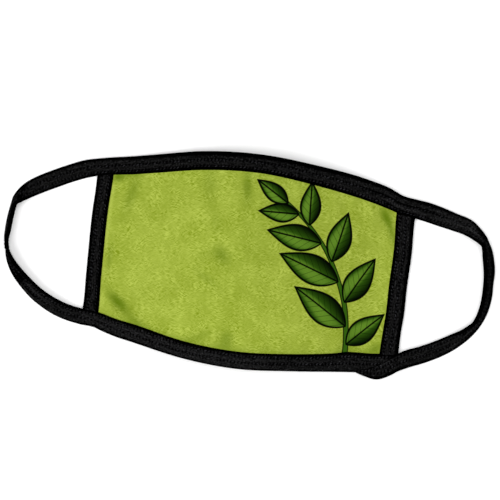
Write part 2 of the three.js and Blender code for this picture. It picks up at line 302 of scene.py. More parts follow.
def shade(red, green, blue):
    """A colour as it is read off a screen, from 0 to 255, turned into light."""
    light = []
    for value in (red, green, blue):
        value = value / 255
        light.append(value / 12.92 if value <= 0.04045 else ((value + 0.055) / 1.055) ** 2.4)
    return (*light, 1.0)


def feed(tree, socket, value):
    """Link another node's output to a socket, or set the socket's own value."""
    if isinstance(value, bpy.types.NodeSocket):
        tree.links.new(value, socket)
    else:
        socket.default_value = value


def calc(tree, operation, *values):
    """One step of arithmetic on numbers."""
    node = tree.nodes.new("ShaderNodeMath")
    node.operation = operation
    for socket, value in zip(node.inputs, values):
        feed(tree, socket, value)
    return node.outputs["Value"]


def ramp(tree, value, low, high):
    """A smooth mask: 0 where the value is at low, and 1 where it is at high."""
    node = tree.nodes.new("ShaderNodeMapRange")
    node.interpolation_type = "SMOOTHSTEP"
    feed(tree, node.inputs["Value"], value)
    if low < high:
        limits = (low, high, 0.0, 1.0)
    else:
        limits = (high, low, 1.0, 0.0)
    for label, limit in zip(("From Min", "From Max", "To Min", "To Max"), limits):
        node.inputs[label].default_value = limit
    return node.outputs["Result"]


def mix_colour(tree, factor, first, second, blend="MIX"):
    """Two colours mixed. The node's sockets for numbers and colours share names, so they go by number."""
    node = tree.nodes.new("ShaderNodeMix")
    node.data_type = "RGBA"
    node.blend_type = blend
    feed(tree, node.inputs[0], factor)
    feed(tree, node.inputs[6], first)
    feed(tree, node.inputs[7], second)
    return node.outputs[2]


def turned(tree, vector, angle):
    """A place turned about the upright axis."""
    node = tree.nodes.new("ShaderNodeVectorRotate")
    node.rotation_type = "Z_AXIS"
    feed(tree, node.inputs["Vector"], vector)
    feed(tree, node.inputs["Angle"], angle)
    return node.outputs["Vector"]


def vector_calc(tree, operation, first, second):
    """One step of arithmetic on two vectors."""
    node = tree.nodes.new("ShaderNodeVectorMath")
    node.operation = operation
    feed(tree, node.inputs[0], first)
    feed(tree, node.inputs[1], second)
    return node.outputs["Vector"]


def apart(tree, vector):
    """The three numbers of a vector."""
    node = tree.nodes.new("ShaderNodeSeparateXYZ")
    feed(tree, node.inputs[0], vector)
    return node.outputs


def joined(tree, x, y, z=0.0):
    """A vector from its three numbers."""
    node = tree.nodes.new("ShaderNodeCombineXYZ")
    for socket, value in zip(node.inputs, (x, y, z)):
        feed(tree, socket, value)
    return node.outputs[0]


def noise(tree, vector, scale, detail=2.0):
    """Soft random blotches, around 0.5."""
    node = tree.nodes.new("ShaderNodeTexNoise")
    feed(tree, node.inputs["Vector"], vector)
    node.inputs["Scale"].default_value = scale
    node.inputs["Detail"].default_value = detail
    return node.outputs[0]


def noted(tree, name, output):
    """What is stored under a name for each point of a piece."""
    node = tree.nodes.new("ShaderNodeAttribute")
    node.attribute_name = name
    return node.outputs[output]


def new_group(name, inputs, outputs):
    """An empty shader node group with named sockets, and its two end nodes."""
    tree = bpy.data.node_groups.new(name, "ShaderNodeTree")
    for label, kind in inputs:
        tree.interface.new_socket(label, in_out="INPUT", socket_type=kind)
    for label, kind in outputs:
        tree.interface.new_socket(label, in_out="OUTPUT", socket_type=kind)
    return tree, tree.nodes.new("NodeGroupInput"), tree.nodes.new("NodeGroupOutput")


def use_group(tree, group, **values):
    """Place a node group in a tree. An input's name has _ where the socket's label has a space."""
    node = tree.nodes.new("ShaderNodeGroup")
    node.node_tree = group
    for name, value in values.items():
        feed(tree, node.inputs[name.replace("_", " ")], value)
    return node.outputs


def new_material(name, roughness, specular, sheen):
    """A matt surface with its constant values set, and its node tree and shader."""
    material = bpy.data.materials.new(name)
    material.use_nodes = True
    tree = material.node_tree
    shader = tree.nodes["Principled BSDF"]
    shader.inputs["Roughness"].default_value = roughness
    shader.inputs["Specular IOR Level"].default_value = specular
    shader.inputs["Sheen Weight"].default_value = sheen
    shader.inputs["Sheen Roughness"].default_value = 0.5
    return material, tree, shader


def raise_surface(tree, shader, height, distance):
    """Fine relief as a bump, where the height of 1 stands for a distance in metres."""
    bump = tree.nodes.new("ShaderNodeBump")
    bump.inputs["Distance"].default_value = distance
    feed(tree, bump.inputs["Height"], height)
    feed(tree, shader.inputs["Normal"], bump.outputs["Normal"])


FLOAT_SOCKET = "NodeSocketFloat"
VECTOR_SOCKET = "NodeSocketVector"
COLOUR_SOCKET = "NodeSocketColor"


def woven_threads():
    """Threads that cross over and under, with a slight ridge on the slant: a height from 0 to 1."""
    inputs = (("Place", VECTOR_SOCKET), ("Pitch", FLOAT_SOCKET), ("Turn", FLOAT_SOCKET))
    tree, start, end = new_group("woven_threads", inputs, (("Height", FLOAT_SOCKET),))
    x, y, _ = apart(tree, turned(tree, start.outputs["Place"], start.outputs["Turn"]))
    step = calc(tree, "DIVIDE", 2 * math.pi, start.outputs["Pitch"])
    warp = calc(tree, "MULTIPLY", x, step)
    weft = calc(tree, "MULTIPLY", y, step)
    over = calc(tree, "MULTIPLY", calc(tree, "SINE", warp), calc(tree, "SINE", weft))
    ridge = calc(tree, "SINE", calc(tree, "ADD", warp, weft))
    both = calc(tree, "ADD", over, ridge)
    feed(tree, end.inputs["Height"], calc(tree, "MULTIPLY_ADD", both, 0.25, 0.5))
    return tree


LEAF_BLACK = shade(1, 3, 1)
LEAF_DARK = shade(3, 12, 1)
LEAF_GREEN = shade(46, 84, 13)
LEAF_LIGHT = shade(86, 122, 34)
LEAF_OUTLINE = (-1.7, -1.0)
LEAF_BULGE = 0.8
PRINT_EDGE = (0.25, -0.2)
SATIN_ACROSS = 2.4
SATIN_ALONG = 1.9
SATIN_SHINE = 0.62
MIDDLE_VEIN = (0.75, 0.25)
SIDE_VEIN = (0.09, 0.03)
SIDE_VEIN_PITCH = 4.6
SIDE_VEIN_STRENGTH = 0.5
STEM_CENTRE = (-40.0, -48.0)
STEM_RADIUS = 104.0
STEM_START = -0.2
STEM_START_FADE = 0.01
STEM_END = math.radians(56)
STEM_END_FADE = math.radians(1)
STEM_HALF = 1.9
STEM_TAPER = -0.9
STEM_OUTLINE = (-0.9, -0.3)

# Leaves of the printed sprig: place along the stem's arc and lean off it, in degrees, length and breadth
LEAF_ROWS = (
    (3, -48, 30, 15),
    (9, 50, 40, 18),
    (17, -46, 33, 16),
    (24, 47, 40, 18),
    (31, -44, 32, 15),
    (38, 45, 34, 16),
    (45, -42, 27, 13),
    (50, 42, 25, 12),
    (55, 4, 24, 11),
)


def printed_leaf():
    """One printed leaf with a dark outline, veins and a satin shine, laid over the colour under it."""
    inputs = (
        ("Place", VECTOR_SOCKET), ("Under", COLOUR_SOCKET), ("Root", VECTOR_SOCKET),
        ("Direction", FLOAT_SOCKET), ("Length", FLOAT_SOCKET), ("Breadth", FLOAT_SOCKET),
    )
    tree, start, end = new_group("printed_leaf", inputs, (("Colour", COLOUR_SOCKET),))
    from_root = vector_calc(tree, "SUBTRACT", start.outputs["Place"], start.outputs["Root"])
    back_turn = calc(tree, "MULTIPLY", start.outputs["Direction"], -1.0)
    along, aside, _ = apart(tree, turned(tree, from_root, back_turn))
    part = calc(tree, "DIVIDE", along, start.outputs["Length"])
    inside_part = calc(tree, "MINIMUM", calc(tree, "MAXIMUM", part, 0.0), 1.0)
    swell = calc(tree, "SINE", calc(tree, "MULTIPLY", calc(tree, "POWER", inside_part, LEAF_BULGE), math.pi))
    half = calc(tree, "MULTIPLY", calc(tree, "MULTIPLY", swell, start.outputs["Breadth"]), 0.5)
    off_middle = calc(tree, "ABSOLUTE", aside)
    beside = calc(tree, "SUBTRACT", off_middle, half)
    beyond = calc(tree, "MAXIMUM", calc(tree, "MULTIPLY", part, -1.0), calc(tree, "SUBTRACT", part, 1.0))
    outside = calc(tree, "MAXIMUM", beside, calc(tree, "MULTIPLY", beyond, start.outputs["Length"]))
    cover = ramp(tree, outside, *PRINT_EDGE)
    outline = ramp(tree, outside, *LEAF_OUTLINE)
    across = calc(tree, "DIVIDE", aside, calc(tree, "MAXIMUM", half, 0.3))
    sweep = calc(tree, "MULTIPLY_ADD", across, SATIN_ACROSS, calc(tree, "MULTIPLY", part, SATIN_ALONG))
    satin = calc(tree, "MULTIPLY_ADD", calc(tree, "SINE", sweep), 0.5, 0.5)
    shine = calc(tree, "MULTIPLY", ramp(tree, satin, SATIN_SHINE, 1.0), swell)
    vein = ramp(tree, off_middle, *MIDDLE_VEIN)
    slant = calc(tree, "DIVIDE", calc(tree, "SUBTRACT", along, off_middle), SIDE_VEIN_PITCH)
    beside_vein = calc(tree, "ABSOLUTE", calc(tree, "SUBTRACT", calc(tree, "FRACT", slant), 0.5))
    side_vein = calc(tree, "MULTIPLY", ramp(tree, beside_vein, *SIDE_VEIN), SIDE_VEIN_STRENGTH)
    colour = mix_colour(tree, satin, LEAF_DARK, LEAF_GREEN)
    colour = mix_colour(tree, shine, colour, LEAF_LIGHT)
    colour = mix_colour(tree, side_vein, colour, LEAF_DARK)
    colour = mix_colour(tree, calc(tree, "MAXIMUM", outline, vein), colour, LEAF_BLACK)
    feed(tree, end.inputs["Colour"], mix_colour(tree, cover, start.outputs["Under"], colour))
    return tree


def stem_colour(tree, place, under):
    """The sprig's stem, an arc that thins towards its tip."""
    centre = (*STEM_CENTRE, 0.0)
    x, y, _ = apart(tree, vector_calc(tree, "SUBTRACT", place, centre))
    reach = calc(tree, "SQRT", calc(tree, "ADD", calc(tree, "MULTIPLY", x, x), calc(tree, "MULTIPLY", y, y)))
    angle = calc(tree, "ARCTAN2", y, x)
    aside = calc(tree, "ABSOLUTE", calc(tree, "SUBTRACT", reach, STEM_RADIUS))
    half = calc(tree, "MULTIPLY_ADD", angle, STEM_TAPER, STEM_HALF)
    inside = calc(tree, "SUBTRACT", aside, half)
    after_start = ramp(tree, angle, STEM_START, STEM_START + STEM_START_FADE)
    before_end = ramp(tree, angle, STEM_END + STEM_END_FADE, STEM_END)
    length = calc(tree, "MULTIPLY", before_end, after_start)
    cover = calc(tree, "MULTIPLY", ramp(tree, inside, *PRINT_EDGE), length)
    colour = mix_colour(tree, ramp(tree, inside, *STEM_OUTLINE), LEAF_GREEN, LEAF_BLACK)
    return mix_colour(tree, cover, under, colour)


LIME_DARK = shade(117, 135, 26)
LIME_LIGHT = shade(164, 179, 74)
# Olive of the painted shade in creases and beside the bottom tape
LIME_PAINTED_SHADE = shade(84, 108, 8)
LIME_BACK_DARK = shade(186, 198, 132)
LIME_BACK_LIGHT = shade(206, 216, 160)
# Painted shade that gives the full olive, and painted light, below 0, that gives the full light lime
PAINTED_SHADE_FULL = 1.3
PAINTED_LIGHT_FULL = -0.5
SWIRL_SCALE = 0.06
SWIRL_PUSH = (9.0, 9.0, 0.0)
BRUSH_TURN = math.radians(24)
BRUSH_STRETCH = (0.4, 1.5, 1.0)
CROSS_BRUSH_TURN = math.radians(-34)
CROSS_BRUSH_STRETCH = (0.45, 1.4, 1.0)
PATCH_RANGE = (0.3, 0.7)
PATCH_ROUGHNESS = 1.6
LEAST_ROUGHNESS = 0.6
WEAVE_PITCH = 0.75
WEAVE_TURN = math.radians(20)
WEAVE_SHADOW = shade(240, 240, 240)
WEAVE_TOP = shade(255, 255, 255)
CLOTH_RELIEF = 0.22 * MM
weave = woven_threads()


def brushed_tone(tree, place):
    """Streaks and soft blotches of a brushed nap, around 0.5, and the streaks alone."""
    swirl = tree.nodes.new("ShaderNodeTexNoise")
    feed(tree, swirl.inputs["Vector"], place)
    swirl.inputs["Scale"].default_value = SWIRL_SCALE
    push = vector_calc(tree, "MULTIPLY", swirl.outputs["Color"], SWIRL_PUSH)
    brushed = vector_calc(tree, "ADD", place, push)
    streak_places = vector_calc(tree, "MULTIPLY", turned(tree, brushed, BRUSH_TURN), BRUSH_STRETCH)
    cross_places = vector_calc(tree, "MULTIPLY", turned(tree, brushed, CROSS_BRUSH_TURN), CROSS_BRUSH_STRETCH)
    streaks = noise(tree, streak_places, scale=1.0, detail=1.5)
    crossing = noise(tree, cross_places, scale=0.95, detail=1.5)
    blotches = noise(tree, place, scale=0.07, detail=3.5)
    patches = ramp(tree, noise(tree, place, scale=0.14, detail=1.0), *PATCH_RANGE)
    rough = calc(tree, "MULTIPLY_ADD", patches, PATCH_ROUGHNESS, LEAST_ROUGHNESS)
    fine = calc(tree, "ADD", streaks, crossing)
    tone = calc(tree, "MULTIPLY_ADD", calc(tree, "SUBTRACT", fine, 1.0), rough, blotches)
    return tone, fine


def lime_cloth(name, dark, light, printed):
    """Brushed lime cloth, with the sprig and painted shade and light on it where it is the outer face."""
    material, tree, shader = new_material(name, roughness=0.9, specular=0.01, sheen=0.03)
    shader.inputs["Sheen Tint"].default_value = LIME_LIGHT
    place = noted(tree, "cloth_place", "Vector")
    tone, fine = brushed_tone(tree, place)
    threads = use_group(tree, weave, Place=place, Pitch=WEAVE_PITCH, Turn=WEAVE_TURN)["Height"]
    colour = mix_colour(tree, tone, dark, light)
    if printed:
        # Painted shade makes the cloth olive in creases, patches and beside the bottom tape; painted light
        # makes it light lime in a broad patch and beside the left tape
        painted_shade = noted(tree, "painted_shade", "Fac")
        colour = mix_colour(tree, ramp(tree, painted_shade, 0.0, PAINTED_SHADE_FULL), colour, LIME_PAINTED_SHADE)
        colour = mix_colour(tree, ramp(tree, painted_shade, 0.0, PAINTED_LIGHT_FULL), colour, LIME_LIGHT)
        colour = stem_colour(tree, place, colour)
        leaf = printed_leaf()
        for at, lean, length, breadth in LEAF_ROWS:
            turn = math.radians(at)
            root_x = STEM_CENTRE[0] + STEM_RADIUS * math.cos(turn)
            root_y = STEM_CENTRE[1] + STEM_RADIUS * math.sin(turn)
            direction = math.radians(at + 90 + lean)
            values = dict(Root=(root_x, root_y, 0), Direction=direction, Length=length, Breadth=breadth)
            colour = use_group(tree, leaf, Place=place, Under=colour, **values)["Colour"]
    thread_tint = mix_colour(tree, threads, WEAVE_SHADOW, WEAVE_TOP)
    feed(tree, shader.inputs["Base Color"], mix_colour(tree, 1.0, colour, thread_tint, blend="MULTIPLY"))
    height = calc(tree, "MULTIPLY_ADD", threads, 0.5, fine)
    raise_surface(tree, shader, height, CLOTH_RELIEF)
    return material


outer_cloth = lime_cloth("lime_printed_cloth", LIME_DARK, LIME_LIGHT, True)
inner_cloth = lime_cloth("lime_cloth_reverse", LIME_BACK_DARK, LIME_BACK_LIGHT, False)

panel_along = np.linspace(-1, 1, PANEL_COLUMNS + 1) * (BODY_HALF_WIDTH - PANEL_INSET)
panel_low = bottom_fold(panel_along) + PANEL_INSET
panel_high = top_fold(panel_along) - PANEL_INSET
panel_part = np.linspace(0, 1, PANEL_ROWS + 1)
panel_x = np.repeat(panel_along[:, None], PANEL_ROWS + 1, axis=1)
panel_y = panel_low[:, None] + (panel_high - panel_low)[:, None] * panel_part
panel_front = on_cloth(panel_x, panel_y, PANEL_THICKNESS / 2)
panel_back = on_cloth(panel_x, panel_y, -PANEL_THICKNESS / 2)
panel_points = np.concatenate([panel_front.reshape(-1, 3), panel_back.reshape(-1, 3)])

front_index = np.arange(panel_x.size).reshape(panel_x.shape)
front_faces = np.stack(
    [front_index[:-1, :-1], front_index[1:, :-1], front_index[1:, 1:], front_index[:-1, 1:]], axis=-1
).reshape(-1, 4)
back_faces = front_faces[:, ::-1] + panel_x.size
rim = np.concatenate(
    [front_index[:, 0], front_index[-1, 1:], front_index[-2::-1, -1], front_index[0, -2:0:-1]]
)
rim_next = np.roll(rim, -1)
rim_faces = np.stack([rim, rim + panel_x.size, rim_next + panel_x.size, rim_next], axis=-1)
panel_faces = np.concatenate([front_faces, back_faces, rim_faces])

cloth_panel = new_piece("cloth_panel", panel_points, panel_faces.tolist(), [outer_cloth, inner_cloth])
face_sides = np.concatenate([np.zeros(len(front_faces), int), np.ones(len(back_faces) + len(rim_faces), int)])
cloth_panel.data.polygons.foreach_set("material_index", face_sides)
cloth_places = np.stack([panel_x.ravel(), panel_y.ravel(), 0 * panel_x.ravel()], axis=-1)
note_points(cloth_panel, "cloth_place", np.concatenate([cloth_places, cloth_places]))
# Painted shade and light on the outer face, for its colour
panel_painted_shade = painted_shading(panel_x, panel_y).ravel()
note_points(cloth_panel, "painted_shade", np.concatenate([panel_painted_shade, panel_painted_shade]))
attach(cloth_panel, "root")
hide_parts("face_panel")

# Side tapes
# Black bias tape folded in half over the panel's left and right edges and sewn through with two rows of
# stitches. The ends run in under the inner edges of the top and bottom tapes.

SIDE_WIDTHS = {"left": 9.3, "right": 11.0}
SIDE_FLARE = 0.5
FLARE_REACH = 16.0
# How far the painted shade at the fold and at the inner edge of each side tape reaches in
SIDE_FOLD_SHADE = {"left": 3.0, "right": 3.8}
SIDE_LIP_SHADE = {"left": 4.2, "right": 2.4}
SLOT_HALF = 0.65
SLOT_DEPTH = 1.0
TAPE_STEP = 0.5
SECTION_POINTS = 33
FOLD_ROUND = 3.4
LIP_ROUND = 2.0
LIP_HEIGHT = 0.95
STITCH_ROWS = {
    "left_side": (0.34, 0.78), "right_side": (0.45, 0.79), "top": (0.48, 0.82), "bottom": (0.44, 0.79),
    "left_loop": (0.44, 0.79), "right_loop": (0.44, 0.79),
}
STITCH_PITCH = 2.1
STITCH_DIP = 0.3
STITCH_DIP_HALF = 0.75
STITCH_PULL = 0.35
TAPE_UNEVEN = 0.1
TAPE_UNEVEN_SIZE = 5
# Painted shade in the needle holes
HOLE_SHADE = 1.0
HOLE_UNEVEN = 0.5
HOLE_UNEVEN_SIZE = 2.6
HOLE_SHARPNESS = 1.2
HOLE_HALF = 0.75
HOLE_ROWS_APART = 40
SIDE_TUCK = 1.0

section_part = np.linspace(0, 1, SECTION_POINTS)
SECTION_SPREAD = 0.5 * section_part + 0.25 * (1 - np.cos(np.pi * section_part))


def tape_section(name, along, width, half, lip):
    """One leaf of a folded tape, from its inner edge to its fold, at each place along the tape.

    Gives the distance in from the fold, the height off the tape's middle, and the distance round the fold.
    """
    width = width[:, None]
    half = half[:, None]
    bulk = half / TAPE_HALF
    inset = width * (1 - SECTION_SPREAD)
    fold_round = np.sqrt(1 - (1 - np.clip(inset / (FOLD_ROUND * bulk ** 2), 0, 1)) ** 2)
    lip_round = np.sqrt(1 - (1 - np.clip((width - inset) / (LIP_ROUND * bulk), 0, 1)) ** 2)
    lip = lip * bulk
    lift = np.minimum(half * fold_round, lip + (half - lip) * lip_round)
    pull = 1 - STITCH_PULL + STITCH_PULL * np.cos(2 * np.pi * along / STITCH_PITCH)[:, None]
    for row in STITCH_ROWS[name]:
        lift = lift - STITCH_DIP * bulk * pull * np.exp(-((inset - row * width) / STITCH_DIP_HALF) ** 2)
    uneven = TAPE_UNEVEN * soft_noise(along[:, None] + 0 * inset, inset, TAPE_UNEVEN_SIZE, 31)
    lift = lift + uneven * fold_round * lip_round
    steps = np.hypot(np.diff(inset, axis=1), np.diff(lift, axis=1))
    round_fold = np.cumsum(steps[:, ::-1], axis=1)[:, ::-1]
    return inset, lift, np.concatenate([round_fold, 0 * width], axis=1)


def path_length(points):
    """Distance along a line of points, at each point."""
    steps = np.linalg.norm(np.diff(points, axis=0), axis=1)
    return np.concatenate([[0.0], np.cumsum(steps)])


def painted_tape_shade(name, along, inset, fold_shade, lip_shade):
    """How much painted shade lies on each point of a leaf: black at the fold, the inner edge and the needle
    holes.
    """
    width = inset[:, :1]
    light = ease(inset, fold_shade[:, None]) * ease(width - inset, lip_shade[:, None])
    hole = (0.5 + 0.5 * np.cos(2 * np.pi * along / STITCH_PITCH)) ** HOLE_SHARPNESS
    for row in STITCH_ROWS[name]:
        row_place = HOLE_ROWS_APART * row + 0 * along
        depth = hole * (HOLE_SHADE + HOLE_UNEVEN * soft_noise(along, row_place, HOLE_UNEVEN_SIZE, 51))
        near_row = np.exp(-((inset - row * width) / HOLE_HALF) ** 2)
        light = light * (1 - np.clip(depth, 0, 1)[:, None] * near_row)
    return 1 - light


def tape_piece(name, front, back, inner, along, wrap, dark):
    """A tape from its front and back leaves and the points inside its fold, as one closed body."""
    rings = np.concatenate([front, back[:, -2::-1], inner], axis=1)
    steps, count = rings.shape[:2]
    index = np.arange(steps * count).reshape(steps, count)
    near = index[:-1]
    far = index[1:]
    quads = np.stack([near, np.roll(near, -1, 1), np.roll(far, -1, 1), far], axis=-1).reshape(-1, 4)
    faces = quads.tolist() + [index[0].tolist(), index[-1].tolist()]
    piece = new_piece(name, rings, faces, [tape_finish])
    inner_wrap = np.repeat(wrap[:, :1], inner.shape[1], axis=1)
    wraps = np.concatenate([wrap, wrap[:, -2::-1], inner_wrap], axis=1)
    darks = np.concatenate([dark, dark[:, -2::-1], 0 * inner_wrap + 1], axis=1)
    alongs = np.repeat(along[:, None], count, axis=1)
    note_points(piece, "tape_place", np.stack([alongs, wraps, darks], axis=-1).reshape(-1, 3))
    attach(piece, "root")
    return piece


TAPE_BLACK = shade(0.5, 0.5, 0.5)
TAPE_GREY = shade(22, 22, 22)
# Grey of the lint flecks, and of the painted highlight streaks
TAPE_FLECK_AND_HIGHLIGHT = shade(52, 52, 53)
TAPE_GREY_RANGE = (0.78, 1.24)
TAPE_FLECK_RANGE = (0.6, 0.78)
TAPE_HIGHLIGHT_RANGE = (0.38, 0.62)
TAPE_SHADOW_RANGE = (0.06, 0.5)
TAPE_RIB_STRETCH = (0.25, 1.0, 1.0)
TAPE_WEAVE_PITCH = 1.1
TAPE_WEAVE_TURN = math.radians(45)
TAPE_RELIEF = 0.2 * MM


def black_tape():
    """Matt black tape cut on the slant, so that its weave runs aslant, with pale flecks of lint, painted
    shade and painted highlight streaks.
    """
    material, tree, shader = new_material("black_folded_tape", roughness=0.9, specular=0.0, sheen=0.0)
    along, wrap, dark = apart(tree, noted(tree, "tape_place", "Vector"))
    flat_place = joined(tree, along, wrap)
    threads = use_group(tree, weave, Place=flat_place, Pitch=TAPE_WEAVE_PITCH, Turn=TAPE_WEAVE_TURN)["Height"]
    flecks = noise(tree, flat_place, scale=1.15, detail=1.5)
    rib_place = vector_calc(tree, "MULTIPLY", flat_place, TAPE_RIB_STRETCH)
    ribs = noise(tree, rib_place, scale=1.1, detail=1.5)
    tone = calc(tree, "MULTIPLY_ADD", threads, 0.1, calc(tree, "ADD", flecks, ribs))
    colour = mix_colour(tree, ramp(tree, tone, *TAPE_GREY_RANGE), TAPE_BLACK, TAPE_GREY)
    colour = mix_colour(tree, ramp(tree, flecks, *TAPE_FLECK_RANGE), colour, TAPE_FLECK_AND_HIGHLIGHT)
    # Painted highlight streaks, where a mark's darkness is below 0
    painted_highlight = calc(tree, "MULTIPLY", ramp(tree, dark, 0.0, -1.0), ramp(tree, flecks, *TAPE_HIGHLIGHT_RANGE))
    colour = mix_colour(tree, painted_highlight, colour, TAPE_FLECK_AND_HIGHLIGHT)
    shadow = calc(tree, "MULTIPLY_ADD", flecks, -0.8, calc(tree, "ADD", dark, 0.4))
    colour = mix_colour(tree, ramp(tree, shadow, *TAPE_SHADOW_RANGE), colour, TAPE_BLACK)
    feed(tree, shader.inputs["Base Color"], colour)
    raise_surface(tree, shader, calc(tree, "ADD", threads, flecks), TAPE_RELIEF)
    return material


tape_finish = black_tape()


def slot_points(x, y):
    """The four points of the fold's inside, where the panel's edge lies, for each place along a binding."""
    corners = ((0, -SLOT_HALF), (1, -SLOT_HALF), (1, SLOT_HALF), (0, SLOT_HALF))
    return np.stack([on_cloth(x[:, place], y[:, place], lift) for place, lift in corners], axis=1)


def side_ends(x):
    """Where a side tape's two ends lie, a little under the inner edges of the bottom and top tapes."""
    return bottom_fold(x) + bottom_width(x) - SIDE_TUCK, top_fold(x) - top_width(x) + SIDE_TUCK


tape_leaves = {}

for side, inward in (("left", 1), ("right", -1)):
    width = SIDE_WIDTHS[side]
    low, high = side_ends(inward * (width / 2 - BODY_HALF_WIDTH))
    count = int((high - low) / TAPE_STEP)
    part = np.linspace(0, 1, count)
    along = part * (high - low)
    name = f"{side}_side"
    flare = 1 - ease(np.minimum(along, along[-1] - along), FLARE_REACH)
    widths = width + SIDE_FLARE * flare
    inset, lift, wrap = tape_section(name, along, widths, np.full(count, TAPE_HALF), LIP_HEIGHT)
    x = inward * (inset - BODY_HALF_WIDTH)
    end_low, end_high = side_ends(x)
    y = end_low + (end_high - end_low) * part[:, None]
    front = on_cloth(x, y, lift)
    back = on_cloth(x, y, -lift)
    slot_x = inward * (np.stack([widths, np.full(count, SLOT_DEPTH)], axis=1) - BODY_HALF_WIDTH)
    slot_y = y[:, [0, -1]]
    fold_shade = np.full(count, SIDE_FOLD_SHADE[side])
    lip_shade = np.full(count, SIDE_LIP_SHADE[side])
    dark = painted_tape_shade(name, along, inset, fold_shade, lip_shade)
    tape = tape_piece(f"{name}_tape", front, back, slot_points(slot_x, slot_y), along, wrap, dark)
    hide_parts(f"side_binding_{side}")
    tape_leaves[name] = (front, back, along)

# Top and bottom tapes
# The same bias tape, folded over the panel's curved edges and over the ends of the side tapes, which makes
# it stand a little higher at the corners. Both are sewn through with two rows of stitches.

CORNER_START = 85.0
CORNER_RAMP = 4.0
CORNER_ROUND = 5.0
CORNER_BULK = {"top": (0.6, 0.6), "bottom": (0.6, 0.15)}

# The bottom tape is a little wider beside the tip of the lapped loop
SWELL = {"top": 0.0, "bottom": 0.9}
SWELL_PLACE = 67.0
SWELL_HALF = 8.0

# Place along the mask, then how far the painted shade of the fold and of the inner edge reaches in, on each
# tape
EDGE_SHADE_ROWS = {
    "top": np.array([
        (-96.6, 2.6, 3.2),
        (-60.0, 4.2, 4.0),
        (-30.0, 5.6, 3.0),
        (20.0, 5.4, 2.6),
        (60.0, 4.6, 2.0),
        (96.6, 2.6, 2.0),
    ]),
    "bottom": np.array([
        (-96.6, 2.2, 2.2),
        (-60.0, 2.4, 2.4),
        (-20.0, 2.2, 2.2),
        (20.0, 2.0, 1.8),
        (60.0, 1.8, 2.4),
        (96.6, 1.8, 2.8),
    ]),
}

# Painted shade in creases and patches, and painted highlight streaks, of a tape, from one place to another:
# how far along the tape and in from its fold each of the two lies, the half width at each, how much painted
# shade it has, or painted highlight where below 0, and how deep
EDGE_MARKS = {
    "top": (
        (160.0, 6.2, 200.0, 4.9, 0.5, 0.6, 0.75, 0.15),
        (177.0, 7.2, 199.0, 6.8, 1.3, 1.3, -0.45, 0.0),
        (178.0, 9.8, 200.0, 8.8, 0.5, 0.5, 0.8, 0.2),
    ),
    "bottom": (
        (0.0, 5.2, 110.0, 5.2, 5.0, 5.0, -0.33, 0.0),
    ),
}


def mark_share(along, inset, stroke):
    """How much of a mark lies on each point of a leaf, from 0 to 1."""
    start_along, start_inset, end_along, end_inset, start_half, end_half = stroke
    run = end_along - start_along
    climb = end_inset - start_inset
    part = ((along - start_along) * run + (inset - start_inset) * climb) / (run ** 2 + climb ** 2)
    part = np.clip(part, 0, 1)
    aside = np.hypot(along - start_along - part * run, inset - start_inset - part * climb)
    return np.exp(-(aside / (start_half + part * (end_half - start_half))) ** 2)


def with_marks(marks, along, inset, dark, lift):
    """How much painted shade and how high each point of a leaf is, with its marks. Painted highlights leave
    edges and holes dark.
    """
    for *stroke, darkness, depth in marks:
        share = mark_share(along[:, None], inset, stroke)
        room = 1 - np.clip(dark, 0, 1) if darkness < 0 else 1
        dark = dark + darkness * share * room
        lift = lift * (1 - depth * share)
    return dark, lift


for edge, fold_at, width_at, inward in (
    ("top", top_fold, top_width, -1),
    ("bottom", bottom_fold, bottom_width, 1),
):
    count = int(2 * BODY_HALF_WIDTH / TAPE_STEP)
    x = np.linspace(-BODY_HALF_WIDTH, BODY_HALF_WIDTH, count)
    fold_line = on_cloth(x, fold_at(x), 0)
    along = path_length(fold_line)
    swell = SWELL[edge] * np.exp(-((x - SWELL_PLACE) / SWELL_HALF) ** 2)
    width = width_at(x) + swell
    inset, lift, wrap = tape_section(edge, along, width, np.full(count, TAPE_HALF), LIP_HEIGHT)
    shade_rows = EDGE_SHADE_ROWS[edge]
    fold_shade, lip_shade = (np.interp(x, shade_rows[:, 0], shade_rows[:, column]) for column in (1, 2))
    dark = painted_tape_shade(edge, along, inset, fold_shade, lip_shade)
    dark, lift = with_marks(EDGE_MARKS[edge], along, inset, dark, lift)
    bulk_left, bulk_right = CORNER_BULK[edge]
    bulk = bulk_left * ease(-x - CORNER_START, CORNER_RAMP) + bulk_right * ease(x - CORNER_START, CORNER_RAMP)
    raised = lift + bulk[:, None] * ease(inset, CORNER_ROUND)
    y = fold_at(x)[:, None] + inward * inset
    front = on_cloth(x[:, None], y, raised)
    back = on_cloth(x[:, None], y, -lift)
    slot_y = fold_at(x)[:, None] + inward * np.stack([width, np.full(count, SLOT_DEPTH)], axis=1)
    slot_x = np.repeat(x[:, None], 2, axis=1)
    tape = tape_piece(f"{edge}_tape", front, back, slot_points(slot_x, slot_y), along, wrap, dark)
    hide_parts(f"{edge}_binding")
    tape_leaves[edge] = (front, back, along)

# Ear loops
# The top and bottom tapes run on past the panel, folded shut and sewn through, and bend round as soft loops
# that stand on edge at their far ends. The right loop's lower end is lapped over the front of the bottom
# tape.

LOOP_LIP = 0.5
LOOP_GROOVE = 0.35
LOOP_LEVEL = 9.0
LOOP_SAMPLES = 2000

